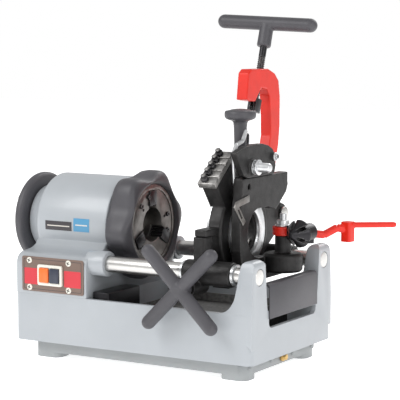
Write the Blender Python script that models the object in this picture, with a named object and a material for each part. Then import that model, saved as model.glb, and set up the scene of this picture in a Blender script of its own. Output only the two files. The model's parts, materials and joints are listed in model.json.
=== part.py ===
"""A bench pipe threading machine: cast base, headstock with two chucks, rails, and a geared carriage
that carries a die head, a pipe cutter and a reamer. Metres, +Z up. X runs along the pipe, from the
headstock to the carriage end, -Y is the operator's side, and Z = 0 is the bench. The pieces are laid
out from the spindle's axis and the middle of the base, and at the end the whole machine is moved, so
that the middle of the box round it lies over X = Y = 0."""

import math

import bmesh
import bpy
from mathutils import Matrix, Vector

# Driving dimensions
BASE_LENGTH, BASE_WIDTH = 0.550, 0.340
BASE_BOTTOM, RIM_Z = 0.036, 0.134
WALL = 0.010
SPINDLE_Z = 0.270
RAIL_Y, RAIL_Z, RAIL_RADIUS = 0.137, 0.204, 0.0165
GAP = 0.0003
RUNNING = 0.0005

HALF_LENGTH, HALF_WIDTH = BASE_LENGTH / 2, BASE_WIDTH / 2
TUB_START = -0.283
HEADSTOCK_END = -0.105
RAIL_START = -0.112
SPINDLE = (0.0, SPINDLE_Z)
BORE_RADIUS, SPINDLE_RADIUS = 0.036, 0.046
DRUM_RADIUS = 0.098
CHUCK_RADIUS, JAW_COUNT = 0.084, 3

# Feed: a pinion under the front rail, in mesh with the rack cut in it
RACK_MODULE, PINION_TEETH = 0.0015, 16
RACK_TIP_Z = RAIL_Z - RAIL_RADIUS + 0.001
ADDENDUM, DEDENDUM = 0.9, 1.35
FEED_X = 0.1332124
FEED_Z = RACK_TIP_Z + ADDENDUM * RACK_MODULE - RACK_MODULE * PINION_TEETH / 2
FEED_WHEEL_Y, FEED_ARM = -0.201, 0.113

# Drive train: tooth counts and modules
SPINDLE_TEETH, LAY_PINION_TEETH, DRIVE_MODULE = 60, 15, 0.0025
LAY_TEETH, MOTOR_TEETH, MOTOR_MODULE = 45, 15, 0.002
LAY_ANGLE, MOTOR_ANGLE = -70.0, -75.0

# The pin at the back of the carriage that the die head and the cutter swing on
TOOL_PIN = (0.160, 0.290)
TOOL_PIN_RADIUS = 0.010
CUTTER_X, EAR_X, DIE_X = (0.0775, 0.1025), (0.1050, 0.1270), (0.1300, 0.1650)
PLATE_X, BOLT_PLACE = (0.1785, 0.200), (-0.036, 0.4045)
DIE_RADIUS, CHASER_COUNT = 0.097, 4
SIZE_ANGLE, SIZE_REACH, SIZE_SHIFT = 129.0, 0.1470, -0.0175
KNOB_PLACE, CLAMP_PLACE = (0.1475, 0.0120), (0.1410, 0.0400)

# The cutter's feed screw, from the middle of its handle. Down it lie the cutter wheel and the pipe's centre
SCREW_TOP, WHEEL_DOWN, PIPE_DOWN = (0.230, 0.684), 0.1880, 0.2457

REAMER_POST, LEVER_ANGLE, PARKED = (0.225, 0.051), 40.0, 83.0

COLOURS = {  # base colour, roughness, metallic
    "grey_paint": ((0.62, 0.66, 0.70), 0.35, 0.0),
    "dark_plastic": ((0.075, 0.075, 0.08), 0.45, 0.0),
    "cast_iron": ((0.05, 0.05, 0.052), 0.6, 0.6),
    "steel": ((0.62, 0.62, 0.60), 0.3, 1.0),
    "red_paint": ((0.75, 0.03, 0.02), 0.3, 0.0),
    "panel": ((0.25, 0.17, 0.14), 0.5, 0.0),
    "white_plastic": ((0.85, 0.84, 0.78), 0.4, 0.0),
    "orange_plastic": ((0.9, 0.22, 0.05), 0.4, 0.0),
    "brass": ((0.65, 0.45, 0.16), 0.35, 1.0),
}


# ---- shape tools -------------------------------------------------------------------------


def clear_scene():
    for obj in list(bpy.data.objects):
        bpy.data.objects.remove(obj)


def spot(axis, along, u, v):
    """A point from its distance along an axis and its place on the plane across that axis."""
    return Vector({"x": (along, u, v), "y": (u, along, v), "z": (u, v, along)}[axis])


def solid(rings):
    """A closed solid through rings of points, with a face on its first and its last ring."""
    bm = bmesh.new()
    layers = [[bm.verts.new(p) for p in ring] for ring in rings]
    for first, second in zip(layers, layers[1:]):
        for i in range(len(first)):
            j = (i + 1) % len(first)
            bm.faces.new((first[i], first[j], second[j], second[i]))
    bm.faces.new(layers[0])
    bm.faces.new(layers[-1])
    return finished(bm)


def finished(bm):
    bmesh.ops.remove_doubles(bm, verts=bm.verts, dist=1e-6)
    bmesh.ops.recalc_face_normals(bm, faces=bm.faces)
    mesh = bpy.data.meshes.new("shape")
    bm.to_mesh(mesh)
    bm.free()
    obj = bpy.data.objects.new("shape", mesh)
    bpy.context.scene.collection.objects.link(obj)
    return obj


def prism(axis, outline, low, high):
    return solid([[spot(axis, along, u, v) for u, v in outline] for along in (low, high)])


def box(x, y, z):
    return prism("x", [(y[0], z[0]), (y[1], z[0]), (y[1], z[1]), (y[0], z[1])], *x)


def arc(centre, radius, start, end, steps):
    angles = [math.radians(start + (end - start) * i / steps) for i in range(steps + 1)]
    return [(centre[0] + radius * math.cos(a), centre[1] + radius * math.sin(a)) for a in angles]


def circle(centre, radius, segments):
    return arc(centre, radius, 0, 360 - 360 / segments, segments - 1)


def disc(axis, centre, radius, low, high, segments=32):
    return prism(axis, circle(centre, radius, segments), low, high)


def rounded_rectangle(x, y, radius, steps=4):
    corners = ((x[1], y[1], 0), (x[0], y[1], 90), (x[0], y[0], 180), (x[1], y[0], 270))
    outline = []
    for cx, cy, start in corners:
        inner = (cx - math.copysign(radius, cx - sum(x) / 2), cy - math.copysign(radius, cy - sum(y) / 2))
        outline += arc(inner, radius, start, start + 90, steps)
    return outline


def rounded_box(x, y, z, radius, axis="z"):
    spans = {"z": (x, y, z), "x": (y, z, x), "y": (x, z, y)}[axis]
    return prism(axis, rounded_rectangle(spans[0], spans[1], radius), *spans[2])


def turned(axis, centre, profile, segments=32):
    """A body of revolution. The profile holds (distance along the axis, radius) from end to end."""
    rings = []
    for along, radius in profile:
        ring = circle(centre, max(radius, 1e-5), segments)
        rings.append([spot(axis, along, u, v) for u, v in ring])
    return solid(rings)


def bar(start, end, radii, segments=12):
    """A round bar between two points, its radius running through evenly spaced values."""
    start, end = Vector(start), Vector(end)
    frame = (end - start).to_track_quat("Z", "Y").to_matrix()
    rings = []
    for share, radius in radii:
        middle = start.lerp(end, share)
        ring = circle((0, 0), radius, segments)
        rings.append([middle + frame @ Vector((u, v, 0)) for u, v in ring])
    return solid(rings)


def combine(target, other, operation):
    modifier = target.modifiers.new("combine", "BOOLEAN")
    modifier.operation = operation
    modifier.object = other
    bpy.context.view_layer.update()
    graph = bpy.context.evaluated_depsgraph_get()
    mesh = bpy.data.meshes.new_from_object(target.evaluated_get(graph))
    target.modifiers.clear()
    target.data = mesh
    bpy.data.objects.remove(other)
    return target


def join(target, *others):
    for other in others:
        combine(target, other, "UNION")
    return target


def cut(target, *others):
    for other in others:
        combine(target, other, "DIFFERENCE")
    return target


def turn(obj, axis, centre, degrees):
    """Turns a shape about an axis through a point."""
    pivot = spot(axis, 0, *centre)
    spin = Matrix.Rotation(math.radians(degrees), 4, axis.upper())
    obj.data.transform(Matrix.Translation(pivot) @ spin @ Matrix.Translation(-pivot))
    return obj


def name_part(obj, name, look, origin=(0, 0, 0)):
    """Names a finished shape, gives it its material and moves its origin to its joint."""
    obj.name = name
    obj.data.name = name
    obj.data.transform(Matrix.Translation(-Vector(origin)))
    obj.location = origin
    obj.data.materials.clear()
    obj.data.materials.append(materials[look])
    obj.data.shade_smooth()
    obj.data.set_sharp_from_angle(angle=math.radians(35))
    return obj


def make_materials():
    made = {}
    for name, (colour, roughness, metallic) in COLOURS.items():
        made[name] = bpy.data.materials.new(name)
        made[name].use_nodes = True
        shader = made[name].node_tree.nodes["Principled BSDF"]
        shader.inputs["Base Color"].default_value = (*colour, 1)
        shader.inputs["Roughness"].default_value = roughness
        shader.inputs["Metallic"].default_value = metallic
    return made


def gear(centre, module, teeth, low, high, bore, phase, backlash=0.0004):
    """A spur gear on an X axis with involute flanks. One tooth points at the phase angle."""
    pitch = module * teeth / 2
    base, tip, root = pitch * math.cos(math.radians(20)), pitch + 0.85 * module, pitch - 1.25 * module
    half_tooth = math.pi / (2 * teeth) - backlash / (2 * pitch)
    at_pitch = math.tan(math.acos(base / pitch)) - math.acos(base / pitch)
    outline = []
    for tooth in range(teeth):
        middle = math.radians(phase) + 2 * math.pi * tooth / teeth
        flank = []
        steps = 2 if teeth < 20 else 1
        for step in range(steps + 1):
            radius = max(base, root) + (tip - max(base, root)) * step / steps
            angle = math.acos(min(1, base / radius))
            flank.append((radius, half_tooth + at_pitch - (math.tan(angle) - angle)))
        if base > root:
            flank.insert(0, (root, flank[0][1]))
        for radius, half in flank:
            outline.append((radius, middle - half))
        for radius, half in reversed(flank):
            outline.append((radius, middle + half))
    points = [(centre[0] + r * math.cos(a), centre[1] + r * math.sin(a)) for r, a in outline]
    wheel = prism("x", points, low, high)
    return cut(wheel, disc("x", centre, bore, low - 0.01, high + 0.01, 36)) if bore else wheel


def polar(centre, radius, degrees):
    angle = math.radians(degrees)
    return (centre[0] + radius * math.cos(angle), centre[1] + radius * math.sin(angle))


# ---- base --------------------------------------------------------------------------------


def base_casting():
    """The tub with its four-sided wall, the two end posts that hold the rails, and a hand opening."""
    tub = rounded_box((TUB_START, HALF_LENGTH), (-HALF_WIDTH, HALF_WIDTH), (BASE_BOTTOM, RIM_Z), 0.014)
    inside_x, inside_y = (-HALF_LENGTH + WALL, HALF_LENGTH - WALL), (-HALF_WIDTH + WALL, HALF_WIDTH - WALL)
    cut(tub, rounded_box(inside_x, inside_y, (BASE_BOTTOM + 0.012, RIM_Z + 0.05), 0.010))
    join(tub, box((HEADSTOCK_END - 0.008, HEADSTOCK_END), (-0.165, 0.165), (BASE_BOTTOM + 0.005, RIM_Z)))
    for side in (-1, 1):
        join(tub, end_post(side))
    opening = rounded_rectangle((-0.100, 0.100), (0.099, 0.260), 0.012)
    cut(tub, prism("x", opening, HALF_LENGTH - 0.030, HALF_LENGTH + 0.010))
    for side in (-1, 1):
        cut(tub, disc("x", (side * RAIL_Y, RAIL_Z), RAIL_RADIUS + GAP, 0.20, 0.30, 28))
    return name_part(tub, "base_casting", "grey_paint")


def end_post(side):
    """A post that flares into the rim, seen from the side, and leans in, seen from the end."""
    seen_from_side = [(HALF_LENGTH, BASE_BOTTOM + 0.03), (HALF_LENGTH, 0.222)]
    seen_from_side += arc((HALF_LENGTH - 0.011, 0.225), 0.011, 20, 90, 3)
    seen_from_side += arc((0.261, 0.224), 0.012, 100, 170, 3)
    seen_from_side += [(0.241, 0.185), (0.236, 0.165), (0.226, 0.146), (0.208, RIM_Z), (0.208, 0.105), (0.262, 0.08)]
    post = prism("y", seen_from_side, side * 0.088, side * HALF_WIDTH)
    seen_from_end = [(0.170, 0.05), (0.170, 0.130), (0.166, 0.215), (0.158, 0.240), (0.124, 0.240)]
    seen_from_end += [(0.115, 0.228), (0.108, 0.150), (0.098, 0.098), (0.090, 0.05)]
    sheath = prism("x", [(side * y, z) for y, z in seen_from_end], 0.19, 0.30)
    return combine(post, sheath, "INTERSECT")


def undertray():
    """The lower frame under the tub, with a foot at each corner."""
    span_x, span_y = (-0.250, 0.250), (-0.148, 0.148)
    tray = rounded_box(span_x, span_y, (0.011, BASE_BOTTOM - GAP), 0.020)
    cut(tray, rounded_box((-0.241, 0.241), (-0.139, 0.139), (-0.01, 0.028), 0.012))
    for x in (-1, 1):
        for y in (-1, 1):
            spans = sorted((x * 0.190, x * 0.250)), sorted((y * 0.100, y * 0.148))
            join(tray, rounded_box(*spans, (0.0, 0.030), 0.016, "z"))
    for y in (-0.130, -0.045, 0.045, 0.130):
        join(tray, disc("x", (y, 0.024), 0.0055, 0.2480, 0.2540, 12))
    return name_part(tray, "undertray", "grey_paint")


def drain_plug():
    plug = turned("x", (0.0, 0.024), [(0.2503, 0.009), (0.2555, 0.009), (0.2557, 0.006), (0.262, 0.006)], 12)
    name_part(plug, "drain_plug", "brass")


def carry_handle():
    """A folded sheet across the two posts, lifted by hand."""
    outer = [(0.2585, 0.1860), (0.2575, 0.1835), (0.2575, 0.1815), (0.2715, 0.1815), (0.2750, 0.1780)]
    outer += [(0.2750, 0.118), (0.2780, 0.118), (0.2780, 0.1800), (0.2760, 0.1845), (0.2730, 0.1860)]
    name_part(prism("y", outer, -0.1010, 0.1010), "carry_handle", "dark_plastic")


def trays_and_pump():
    tray = rounded_box((-0.030, 0.204), (-0.112, 0.112), (0.098, 0.118), 0.010)
    cut(tray, rounded_box((-0.027, 0.201), (-0.109, 0.109), (0.101, 0.130), 0.007))
    name_part(tray, "chip_tray", "steel")
    tank = rounded_box((-0.060, 0.204), (-0.120, 0.120), (0.0485, 0.094), 0.012)
    cut(tank, rounded_box((-0.057, 0.201), (-0.117, 0.117), (0.052, 0.105), 0.009))
    name_part(tank, "oil_tank", "steel")
    pump = rounded_box((-0.1045, -0.0640), (-0.150, -0.030), (0.060, 0.146), 0.006)
    name_part(pump, "oil_pump_cover", "dark_plastic")


# ---- headstock ---------------------------------------------------------------------------


def casing_outline(inset, bottom):
    """The headstock seen from its end: straight sides, rounded shoulders and a drum on top."""
    side, shoulder = HALF_WIDTH - inset, 0.022
    half = arc((-side + shoulder, 0.1965 - inset), shoulder, 180, 96, 4)
    half += [(-0.124, 0.2205 - inset), (-0.107 + inset, 0.2275 - inset)]
    drum = arc(SPINDLE, DRUM_RADIUS - inset, 202, 90, 10)
    left = [(-side, bottom)] + half + drum
    return left + [(-y, z) for y, z in reversed(left[:-1])]


def headstock_casing():
    bottom = RIM_Z + GAP
    ends = ((-0.275, 0.010), (-0.2735, 0.0045), (-0.268, 0.0), (-0.108, 0.0), (HEADSTOCK_END, 0.003))
    casing = solid([[spot("x", x, y, z) for y, z in casing_outline(inset, bottom)] for x, inset in ends])
    hollow = prism("x", casing_outline(0.008, bottom - 0.02), -0.264, -0.1135)
    collar = [(-0.3180, 0.0695), (-0.2900, 0.0730), (-0.2790, 0.0820), (-0.2650, 0.0880)]
    join(casing, turned("x", SPINDLE, collar, 36))
    for side in (-1, 1):
        centre = (side * RAIL_Y, RAIL_Z)
        boss = [(-0.114, 0.0255), (-0.073, 0.0255), (-0.070, 0.0230)]
        join(casing, turned("x", centre, boss, 24))
    cut(casing, hollow)
    for side in (-1, 1):
        centre = (side * RAIL_Y, RAIL_Z)
        cut(casing, disc("x", centre, RAIL_RADIUS + GAP, -0.1125, -0.02, 28))
    cut(casing, disc("x", SPINDLE, 0.0560, -0.33, -0.05, 36))
    return name_part(casing, "headstock_casing", "grey_paint")


def bearings():
    front = ((-0.1195, "front_bearing"), (-0.2985, "rear_bearing"))
    for start, name in front:
        ring = disc("x", SPINDLE, 0.0560 - GAP, start, start + 0.013, 36)
        cut(ring, disc("x", SPINDLE, SPINDLE_RADIUS + RUNNING, start - 0.01, start + 0.03, 36))
        name_part(ring, name, "steel")


def switch():
    plate_front = -HALF_WIDTH - 0.0022
    plate = rounded_box((-0.262, -0.110), (plate_front, -HALF_WIDTH - GAP), (0.140, 0.2115), 0.004, "y")
    for place in ((-0.243, 0.2035), (-0.146, 0.2035), (-0.243, 0.1480), (-0.146, 0.1480)):
        join(plate, disc("y", place, 0.0052, -0.1750, plate_front + 0.0005, 12))
    name_part(plate, "switch_plate", "panel")
    bezel = rounded_box((-0.220, -0.160), (-0.1780, plate_front - GAP), (0.1545, 0.1970), 0.004, "y")
    for low in (-0.2145, -0.1890):
        cut(bezel, box((low, low + 0.0235), (-0.19, -0.1730), (0.1605, 0.1910)))
    name_part(bezel, "switch_bezel", "white_plastic")
    for name, low, look in (("off_button", -0.2140, "orange_plastic"), ("on_button", -0.1885, "dark_plastic")):
        button = rounded_box((low, low + 0.0225), (-0.1815, -0.1765), (0.1610, 0.1905), 0.003, "y")
        name_part(button, name, look, (low + 0.01125, -0.179, 0.17575))


def lay_centre():
    return polar(SPINDLE, DRIVE_MODULE * (SPINDLE_TEETH + LAY_PINION_TEETH) / 2, LAY_ANGLE)


def motor_centre():
    return polar(lay_centre(), MOTOR_MODULE * (LAY_TEETH + MOTOR_TEETH) / 2, MOTOR_ANGLE)


def drive_train():
    """Motor pinion to lay gear, lay pinion to spindle gear. Each follower has a gap where it meets a tooth."""
    lay, motor = lay_centre(), motor_centre()
    plate = join(box((-0.1585, -0.1545), (-0.060, 0.0800), (0.085, 0.262)), disc("x", SPINDLE, 0.084, -0.1585, -0.1545))
    cut(plate, disc("x", SPINDLE, 0.0480, -0.17, -0.14), disc("x", lay, 0.0068, -0.17, -0.14, 16))
    cut(plate, disc("x", motor, 0.0085, -0.17, -0.14, 16))
    name_part(plate, "gearbox_plate", "cast_iron")
    can = turned("x", motor, [(-0.256, 0.020), (-0.252, 0.034), (-0.178, 0.034), (-0.172, 0.026)], 24)
    name_part(can, "motor", "cast_iron")
    shaft = disc("x", motor, 0.005, -0.1715, -0.138, 16)
    opposite = MOTOR_ANGLE + 180 + 180 / MOTOR_TEETH
    pinion = gear(motor, MOTOR_MODULE, MOTOR_TEETH, -0.1530, -0.1395, 0, opposite)
    name_part(join(pinion, shaft), "motor_pinion", "steel", spot("x", -0.146, *motor))
    shaft = disc("x", lay, 0.006, -0.168, -0.1150, 16)
    wheel = gear(lay, MOTOR_MODULE, LAY_TEETH, -0.1520, -0.1405, 0.006 + GAP, MOTOR_ANGLE)
    opposite = LAY_ANGLE + 180 + 180 / LAY_PINION_TEETH
    pinion = gear(lay, DRIVE_MODULE, LAY_PINION_TEETH, -0.1380, -0.1195, 0, opposite)
    name_part(wheel, "lay_gear", "steel", spot("x", -0.146, *lay))
    name_part(join(pinion, shaft), "lay_pinion", "steel", spot("x", -0.129, *lay))
    wheel = gear(SPINDLE, DRIVE_MODULE, SPINDLE_TEETH, -0.1365, -0.1210, SPINDLE_RADIUS + GAP, LAY_ANGLE)
    name_part(wheel, "spindle_gear", "steel", spot("x", -0.129, *SPINDLE))


def spindle_tube():
    tube = disc("x", SPINDLE, SPINDLE_RADIUS, -0.3187, -0.1006, 36)
    cut(tube, disc("x", SPINDLE, BORE_RADIUS, -0.35, 0, 36))
    name_part(tube, "spindle_tube", "steel", spot("x", -0.2, *SPINDLE))


def jaw_angles():
    return [90 + i * 360 / JAW_COUNT for i in range(JAW_COUNT)]


def radial_box(x, reach, half_width, angle):
    """A block that reaches outwards from the spindle axis at an angle."""
    block = box(x, (reach[0], reach[1]), (SPINDLE_Z - half_width, SPINDLE_Z + half_width))
    return turn(block, "x", SPINDLE, angle)


def lobed_ring(profile, hole, lobes, segments=48):
    """A handwheel: its outline's radius swells evenly into lobes. The profile holds (x, radius, swell)."""
    rings = []
    for x, radius, swell in profile:
        ring = []
        for i in range(segments):
            angle = 360 * i / segments
            reach = radius + swell * math.cos(math.radians(lobes * (angle - 80)))
            ring.append(spot("x", x, *polar(SPINDLE, reach, angle)))
        rings.append(ring)
    return cut(solid(rings), disc("x", SPINDLE, hole, profile[0][0] - 0.01, profile[-1][0] + 0.01, 36))


def front_chuck():
    body = disc("x", SPINDLE, CHUCK_RADIUS, -0.1000, -0.0540, 36)
    cut(body, disc("x", SPINDLE, BORE_RADIUS, -0.12, 0, 36))
    for angle in jaw_angles():
        cut(body, radial_box((-0.0805, -0.04), (0.0, 0.0715), 0.0130, angle))
    name_part(body, "chuck_body", "steel", spot("x", -0.077, *SPINDLE))
    for number, angle in enumerate(jaw_angles(), 1):
        jaw = radial_box((-0.0800, -0.0510), (0.0395, 0.0705), 0.0126, angle)
        for step in (-0.0075, 0.0, 0.0075):
            notch = box((-0.09, -0.04), (0.036, 0.0415), (SPINDLE_Z + step - 0.002, SPINDLE_Z + step + 0.002))
            cut(jaw, turn(notch, "x", SPINDLE, angle))
        name_part(jaw, f"chuck_jaw_{number}", "steel", spot("x", -0.065, *SPINDLE))
    profile = [(-0.1030, 0.104, 0.004), (-0.0990, 0.110, 0.006), (-0.0560, 0.111, 0.007), (-0.0490, 0.108, 0.006)]
    profile += [(-0.0455, 0.100, 0.003), (-0.0450, 0.092, 0.0)]
    wheel = lobed_ring(profile, CHUCK_RADIUS + RUNNING, 6)
    name_part(wheel, "chuck_handwheel", "dark_plastic", spot("x", -0.075, *SPINDLE))


def rear_chuck():
    body = disc("x", SPINDLE, 0.0655, -0.3370, -0.3190, 36)
    cut(body, disc("x", SPINDLE, BORE_RADIUS, -0.35, -0.3, 36))
    for angle in jaw_angles():
        cut(body, radial_box((-0.35, -0.3265), (0.0, 0.0600), 0.0075, angle))
    name_part(body, "rear_chuck_body", "steel", spot("x", -0.328, *SPINDLE))
    for number, angle in enumerate(jaw_angles(), 1):
        jaw = radial_box((-0.3365, -0.3270), (0.0385, 0.0590), 0.0071, angle)
        name_part(jaw, f"rear_jaw_{number}", "steel", spot("x", -0.332, *SPINDLE))
    profile = [(-0.3420, 0.090, 0.003), (-0.3400, 0.0950, 0.005), (-0.3370, 0.0965, 0.0035), (-0.3245, 0.0965, 0.0)]
    profile += [(-0.3200, 0.0930, 0.0)]
    wheel = lobed_ring(profile, 0.0655 + RUNNING, 4)
    name_part(wheel, "rear_handwheel", "dark_plastic", spot("x", -0.33, *SPINDLE))


# ---- rails and feed ----------------------------------------------------------------------


def rack_cutter(start, end):
    """The space between rack teeth that point down, and everything under them."""
    pitch = math.pi * RACK_MODULE
    root_z = RACK_TIP_Z + (ADDENDUM + DEDENDUM) * RACK_MODULE
    lean = math.tan(math.radians(20)) * (root_z - RACK_TIP_Z) / 2
    count = int((end - start) / pitch)
    outline = [(start, RAIL_Z - 0.03), (start, RACK_TIP_Z)]
    for i in range(count):
        middle = FEED_X + pitch * (i + 0.5) + pitch * math.floor((start - FEED_X) / pitch + 1)
        half = pitch / 4 + 0.0001
        outline += [(middle - half - lean, RACK_TIP_Z), (middle - half + lean, root_z)]
        outline += [(middle + half - lean, root_z), (middle + half + lean, RACK_TIP_Z)]
    last = outline[-1][0] + pitch / 4
    outline += [(last, RACK_TIP_Z), (last, RAIL_Z - 0.03)]
    return prism("y", outline, -RAIL_Y - 0.03, -RAIL_Y + 0.03)


def rails():
    for side, name in ((-1, "front_rail"), (1, "rear_rail")):
        centre = (side * RAIL_Y, RAIL_Z)
        ends = [(RAIL_START, RAIL_RADIUS - 0.0015), (RAIL_START + 0.0015, RAIL_RADIUS)]
        ends += [(HALF_LENGTH - 0.0015, RAIL_RADIUS), (HALF_LENGTH, RAIL_RADIUS - 0.0015)]
        rail = turned("x", centre, ends, 28)
        if side < 0:
            cut(rail, rack_cutter(-0.058, 0.172))
        name_part(rail, name, "steel")


def feed_gear():
    """The feed pinion and its shaft, turned from one bar."""
    centre = (FEED_X, FEED_Z)
    outline = []
    pitch = RACK_MODULE * PINION_TEETH / 2
    tip, root = pitch + ADDENDUM * RACK_MODULE, pitch - 1.2 * RACK_MODULE
    step = 360 / PINION_TEETH
    for tooth in range(PINION_TEETH):
        middle = 90 + step * (tooth + 0.5)
        for radius, share in ((root, -0.33), (pitch, -0.225), (tip, -0.10), (tip, 0.10), (pitch, 0.225), (root, 0.33)):
            outline.append(polar(centre, radius, middle + share * step))
    pinion = prism("y", outline, -0.1500, -0.1240)
    join(pinion, disc("y", centre, 0.0060, -0.2120, -0.1205, 20))
    name_part(pinion, "feed_pinion", "steel", (FEED_X, -0.137, FEED_Z))


def feed_handwheel():
    """Four tapered arms on a hub."""
    centre = (FEED_X, FEED_Z)
    hub = turned("y", centre, [(-0.2155, 0.010), (-0.2120, 0.015), (-0.1950, 0.018), (-0.1790, 0.016)], 24)
    for angle in (45, 135, 225, 315):
        tip = polar(centre, FEED_ARM, angle)
        radii = [(0, 0.0105), (0.6, 0.0125), (0.90, 0.0135), (0.975, 0.0105), (1.0, 0.005)]
        start, end = (FEED_X, FEED_WHEEL_Y, FEED_Z), (tip[0], FEED_WHEEL_Y, tip[1])
        join(hub, bar(start, end, radii, 12))
    cut(hub, disc("y", centre, 0.0060 + GAP, -0.2125, -0.17, 20))
    name_part(hub, "feed_handwheel", "dark_plastic", (FEED_X, FEED_WHEEL_Y, FEED_Z))


# ---- carriage ----------------------------------------------------------------------------


def carriage_casting():
    """Two slides on the rails, the saddle between them, the pinion housing, the ring frame and the ear."""
    body = box((0.1690, 0.206), (-0.135, 0.135), (0.176, 0.198))
    for side, start, end in ((-1, 0.1120, 0.2190), (1, 0.0775, 0.2065)):
        slide = [(start, 0.0225), (start + 0.0025, 0.0245), (end - 0.0025, 0.0245), (end, 0.0225)]
        join(body, turned("x", (side * RAIL_Y, RAIL_Z), slide, 24))
    join(body, disc("y", (FEED_X, FEED_Z), 0.0200, -0.1760, -0.1170, 28))
    join(body, rounded_box((0.1340, 0.1610), (-0.153, -0.119), (0.205, 0.2740), 0.006, "z"))
    y, z = TOOL_PIN
    ear = [(0.112, 0.205), (y - 0.022, z - 0.02)] + arc((y, z), 0.022, 180, 0, 8)
    join(body, prism("x", ear + [(y + 0.022, z - 0.02), (0.160, 0.205)], *EAR_X))
    join(body, ring_frame())
    join(body, turned("z", REAMER_POST, [(0.188, 0.036), (0.192, 0.040), (0.2215, 0.040), (0.2260, 0.036)], 36))
    join(body, disc("z", REAMER_POST, 0.0165, 0.21, 0.2610, 24))
    for side in (-1, 1):
        cut(body, disc("x", (side * RAIL_Y, RAIL_Z), RAIL_RADIUS + RUNNING, 0.06, 0.24, 28))
    cut(body, disc("y", (FEED_X, FEED_Z), 0.0150, -0.1525, -0.1215, 28))
    cut(body, disc("y", (FEED_X, FEED_Z), 0.0060 + RUNNING, -0.19, -0.10, 20))
    cut(body, disc("x", TOOL_PIN, TOOL_PIN_RADIUS + GAP, 0.09, 0.21, 24))
    cut(body, disc("z", REAMER_POST, 0.0060 + GAP, 0.235, 0.27, 16))
    cut(body, disc("x", (-0.045, 0.366), 0.0060, 0.17, 0.21, 12))
    return name_part(body, "carriage_casting", "cast_iron", (0.15, 0, RAIL_Z))


def ring_frame():
    """The plate that stands on the saddle and carries the cover, open at the back for the reamer."""
    outline = [(-0.070, 0.3835), (0.118, 0.3835), (0.1185, 0.3560), (0.112, 0.3430), (0.056, 0.3020)]
    outline += [(0.030, 0.2150), (0.028, 0.1900), (-0.070, 0.1900), (-0.080, 0.2400), (-0.080, 0.3000)]
    frame = prism("x", outline, *PLATE_X)
    opening = arc(SPINDLE, 0.0500, 90, 270, 16) + [(0.100, SPINDLE_Z - 0.0500), (0.100, SPINDLE_Z + 0.0330)]
    return cut(frame, prism("x", opening + [(0.0300, SPINDLE_Z + 0.0500)], 0.17, 0.21))

def bracket_parts():
    """The curved plate bolted above the ring frame, and the bolt through it."""
    outline = [(-0.103, 0.436), (-0.085, 0.4415), (-0.060, 0.4465), (-0.030, 0.4490), (0.004, 0.4485)]
    outline += [(0.030, 0.4430), (0.047, 0.4350), (0.056, 0.4250), (0.060, 0.400), (0.054, 0.3840)]
    outline += [(-0.056, 0.3840), (-0.071, 0.390), (-0.087, 0.412)]
    plate = prism("x", outline, 0.1890, 0.2030)
    join(plate, disc("x", (0.050, 0.419), 0.0085, 0.2025, 0.2070, 20))
    join(plate, disc("x", (0.050, 0.419), 0.0060, 0.2060, 0.2130, 6))
    join(plate, disc("x", BOLT_PLACE, 0.0160, 0.2025, 0.2060, 24))
    cut(plate, disc("x", BOLT_PLACE, 0.0065, 0.17, 0.21, 20))
    name_part(plate, "frame_cover", "cast_iron")
    pin = [(0.1810, 0.0061), (0.2064, 0.0061), (0.2065, 0.0145), (0.2095, 0.0145), (0.2096, 0.0110), (0.2130, 0.0110)]
    pin += [(0.2131, 0.0155), (0.2175, 0.0155), (0.2176, 0.0095), (0.2390, 0.0095), (0.2430, 0.0070)]
    name_part(turned("x", BOLT_PLACE, pin, 24), "frame_bolt", "steel")


def oil_spout():
    """A bent strip that hangs from the ring frame and drips oil on the work."""
    strip = [(-0.109, 0.3310), (-0.100, 0.3420), (-0.048, 0.3500), (-0.048, 0.3370), (-0.090, 0.3310)]
    spout = prism("x", strip + [(-0.063, 0.2990), (-0.074, 0.2920)], PLATE_X[1] + GAP, 0.2028)
    cut(spout, prism("x", [(-0.0960, 0.3240), (-0.0910, 0.3270), (-0.0750, 0.3070), (-0.0800, 0.3040)], 0.19, 0.21))
    name_part(spout, "oil_spout", "steel")


def tool_pin():
    pin = [(0.0710, 0.0150), (0.0770, 0.0150), (0.0771, TOOL_PIN_RADIUS), (0.1668, TOOL_PIN_RADIUS)]
    pin += [(0.1669, 0.0150), (0.1720, 0.0150)]
    name_part(turned("x", TOOL_PIN, pin, 24), "tool_pin", "steel")


# ---- die head ----------------------------------------------------------------------------


def die_head_body():
    """A thick ring with pockets for the chasers, an eye on the tool pin, a foot and a bed for the size block."""
    low, high = DIE_X
    body = turned("x", SPINDLE, [(low, 0.093), (low + 0.004, DIE_RADIUS), (high - 0.004, DIE_RADIUS), (high, 0.093)], 40)
    arm = [(0.060, 0.345), (0.118, 0.335), (0.172, 0.306), (0.165, 0.270), (0.080, 0.215)]
    join(body, prism("x", arm, low + 0.002, high - 0.002), disc("x", TOOL_PIN, 0.0215, low, high, 28))
    join(body, rounded_box((low + 0.004, 0.1610), (-0.148, -0.080), (0.2745, 0.2880), 0.006, "z"))
    join(body, tangent_block((low, high), (0.080, SIZE_REACH), (0.026, 0.041)))
    join(body, rounded_box((low + 0.002, high - 0.003), (-0.016, 0.052), (0.345, 0.3850), 0.006, "x"))
    join(body, disc("z", KNOB_PLACE, 0.0150, 0.37, 0.4100, 24))
    cut(body, disc("x", SPINDLE, 0.0400, 0.10, 0.18, 36))
    for angle in chaser_angles():
        cut(body, radial_box((low + 0.005, high - 0.005), (0.0, 0.0790), 0.0093, angle))
    cut(body, disc("x", TOOL_PIN, TOOL_PIN_RADIUS + RUNNING, 0.10, 0.18, 24))
    cut(body, disc("z", KNOB_PLACE, 0.0070, 0.388, 0.42, 20))
    cut(body, disc("z", CLAMP_PLACE, 0.0050, 0.372, 0.40, 12))
    name_part(body, "die_head_body", "cast_iron", spot("x", 0.1475, *TOOL_PIN))


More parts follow.
